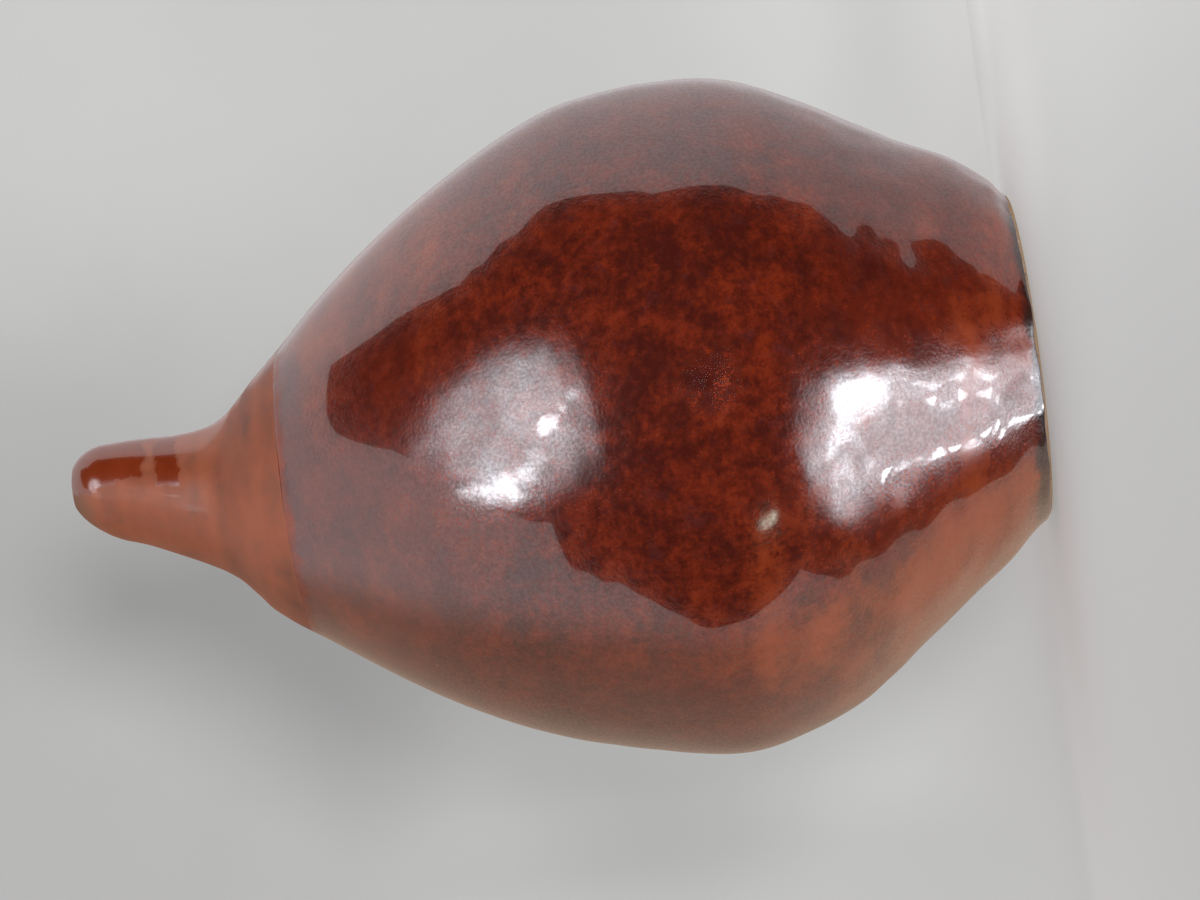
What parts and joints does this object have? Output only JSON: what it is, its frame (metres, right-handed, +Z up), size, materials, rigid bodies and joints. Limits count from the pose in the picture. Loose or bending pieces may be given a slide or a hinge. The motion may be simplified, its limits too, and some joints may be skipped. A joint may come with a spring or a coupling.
{
  "type": "bottle vase",
  "caption": "Hand-thrown gourd-shaped stoneware bottle vase with a slim leaning neck, a closed-in rounded lip and a glossy iron-red glaze; holds a single stem.",
  "frame": {"origin": "middle of the vase's box at the level of the surface it stands on; the foot's own middle lies 3.3 mm to +X, because the hand-thrown form leans", "axes": "+Z up from the foot to the mouth, +X towards the side that the neck's tip swings to"},
  "size_m": [0.1396, 0.1396, 0.2],
  "materials": {
    "bare_clay": "matte",
    "body_glaze": "gloss",
    "neck_glaze": "gloss",
    "liner_glaze": "gloss"
  },
  "bodies": {
    "root": {"foot_ring": "bare_clay", "base_floor": "bare_clay", "lower_wall": "bare_clay", "upper_wall": "bare_clay", "neck": "bare_clay", "body_glaze": "body_glaze", "neck_glaze": "neck_glaze", "liner_glaze": "liner_glaze"}
  },
  "joints": []
}
